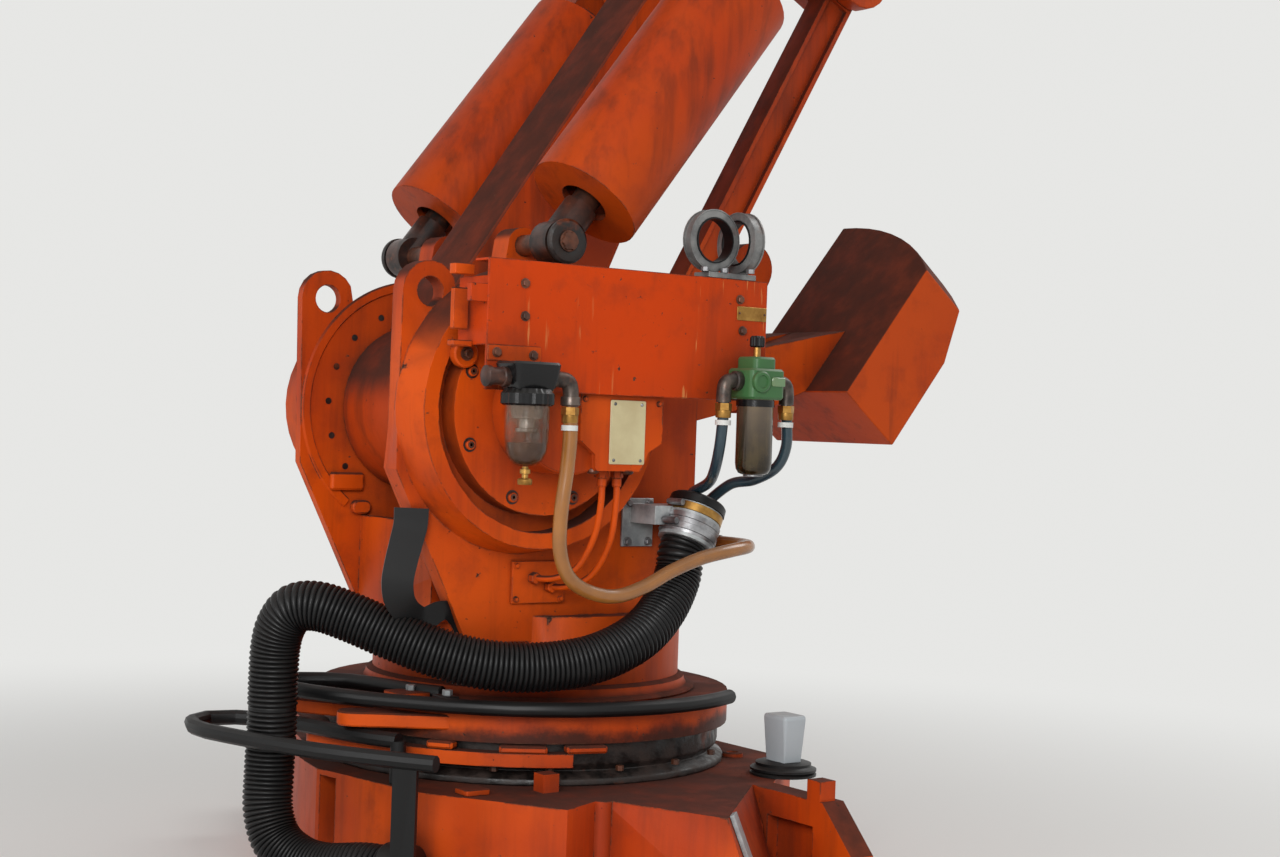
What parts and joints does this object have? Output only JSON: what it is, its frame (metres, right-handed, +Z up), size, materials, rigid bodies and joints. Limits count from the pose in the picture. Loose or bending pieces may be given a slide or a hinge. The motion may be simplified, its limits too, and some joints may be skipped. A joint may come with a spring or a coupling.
{
  "type": "industrial robot arm",
  "caption": "Floor-standing industrial robot arm with a parallel-bar drive, balancing cylinders, rear counterweight, guard plate and air treatment units.",
  "frame": {"origin": "on the base's underside, on the turning axis", "axes": "+Z up, +X the robot's front, +Y its left side"},
  "size_m": [1.9894, 1.6, 2.1889],
  "materials": {
    "orange_casting": "worn semi-gloss",
    "vermilion_plate": "scratched semi-gloss",
    "greasy_iron": "greasy",
    "steel": "dull",
    "black_rubber": "dusty matt",
    "black_rod": "worn satin",
    "black_plastic": "satin",
    "grey_plastic": "satin",
    "clear_plastic": "stained clear",
    "green_enamel": "semi-gloss",
    "oily_metal": "oily",
    "amber_hose": "aged translucent",
    "teal_hose": "satin"
  },
  "bodies": {
    "base": {"base_casting": "orange_casting", "slewing_ring": "greasy_iron", "stop_ring": "orange_casting", "connector_seat": "black_rubber", "cable_connector": "grey_plastic", "foot_rail": "steel", "lower_hose_guide": "black_rod", "lower_hose": "black_rubber", "hose_fitting": "black_rubber"},
    "frame": {"turning_frame": "orange_casting", "near_motor": "orange_casting", "far_motor": "orange_casting", "near_spring_pin": "steel", "far_spring_pin": "steel", "access_cover": "orange_casting", "guard_plate": "vermilion_plate", "pipe_clamps": "steel", "filter_head": "black_plastic", "filter_bowl": "clear_plastic", "oiler_head": "green_enamel", "oiler_bowl": "oily_metal", "hose_coupling": "steel", "air_outlet": "steel", "corrugated_hose": "black_rubber", "amber_hose": "amber_hose", "teal_hose_1": "teal_hose", "teal_hose_2": "teal_hose", "grease_tube_1": "orange_casting", "grease_tube_2": "orange_casting", "upper_hose_guide": "black_rod", "hose_strap": "black_rubber"},
    "lower_arm": {"lower_arm": "orange_casting"},
    "lever": {"lever": "orange_casting", "counterweight": "orange_casting"},
    "lever_pin": {"lever_pin": "steel"},
    "link_bar": {"link_bar": "orange_casting"},
    "near_cylinder": {"near_cylinder": "orange_casting"},
    "far_cylinder": {"far_cylinder": "orange_casting"},
    "near_rod": {"near_rod": "steel"},
    "far_rod": {"far_rod": "steel"},
    "elbow_pin": {"elbow_pin": "steel"},
    "upper_arm": {"elbow_housing": "orange_casting", "arm_tube": "orange_casting", "wrist_housing": "orange_casting", "tool_flange": "steel", "wrist_motor_1": "orange_casting", "wrist_motor_2": "orange_casting", "wrist_motor_3": "orange_casting"}
  },
  "joints": [
    {"name": "axis_1", "type": "hinge", "parent": "base", "child": "frame", "pos_m": [0, 0, 0.315], "axis": [0, 0, 1], "range_deg": [-180, 180]},
    {"name": "axis_2", "type": "hinge", "parent": "frame", "child": "lower_arm", "pos_m": [0.188, 0, 0.9], "axis": [0, 1, 0], "range_deg": [-12, 58]},
    {"name": "axis_3", "type": "hinge", "parent": "frame", "child": "lever", "pos_m": [0.188, 0, 0.9], "axis": [0, 1, 0], "range_deg": [-30, 6]},
    {"name": "lever_pin_turn", "type": "hinge", "parent": "lever", "child": "lever_pin", "pos_m": [-0.23801, 0, 0.94703], "axis": [0, 1, 0], "range_deg": [-6, 30]},
    {"name": "link_bar_turn", "type": "hinge", "parent": "lever_pin", "child": "link_bar", "pos_m": [-0.23801, 0, 0.94703], "axis": [0, 1, 0], "range_deg": [-12, 58]},
    {"name": "near_cylinder_swing", "type": "hinge", "parent": "lower_arm", "child": "near_cylinder", "pos_m": [-0.32904, 0, 1.81387], "axis": [0, 1, 0], "range_deg": [-5, 22]},
    {"name": "far_cylinder_swing", "type": "hinge", "parent": "lower_arm", "child": "far_cylinder", "pos_m": [-0.32904, 0, 1.81387], "axis": [0, 1, 0], "range_deg": [-5, 22]},
    {"name": "near_rod_swing", "type": "hinge", "parent": "frame", "child": "near_rod", "pos_m": [0.141, 0, 1.204], "axis": [0, 1, 0], "range_deg": [-17, 80]},
    {"name": "far_rod_swing", "type": "hinge", "parent": "frame", "child": "far_rod", "pos_m": [0.141, 0, 1.204], "axis": [0, 1, 0], "range_deg": [-17, 80]},
    {"name": "elbow_pin_turn", "type": "hinge", "parent": "lower_arm", "child": "elbow_pin", "pos_m": [-0.32904, 0, 1.81387], "axis": [0, 1, 0], "range_deg": [-58, 12]},
    {"name": "upper_arm_tilt", "type": "hinge", "parent": "elbow_pin", "child": "upper_arm", "pos_m": [-0.32904, 0, 1.81387], "axis": [0, 1, 0], "range_deg": [-30, 6]}
  ],
  "couplings": [
    {"joint": "lever_pin_turn", "follows": "axis_3", "ratio": -1},
    {"joint": "link_bar_turn", "follows": "axis_2", "ratio": 1},
    {"joint": "near_cylinder_swing", "follows": "axis_2", "ratio": 0.375},
    {"joint": "far_cylinder_swing", "follows": "axis_2", "ratio": 0.375},
    {"joint": "near_rod_swing", "follows": "axis_2", "ratio": 1.375},
    {"joint": "far_rod_swing", "follows": "axis_2", "ratio": 1.375},
    {"joint": "elbow_pin_turn", "follows": "axis_2", "ratio": -1},
    {"joint": "upper_arm_tilt", "follows": "axis_3", "ratio": 1}
  ]
}
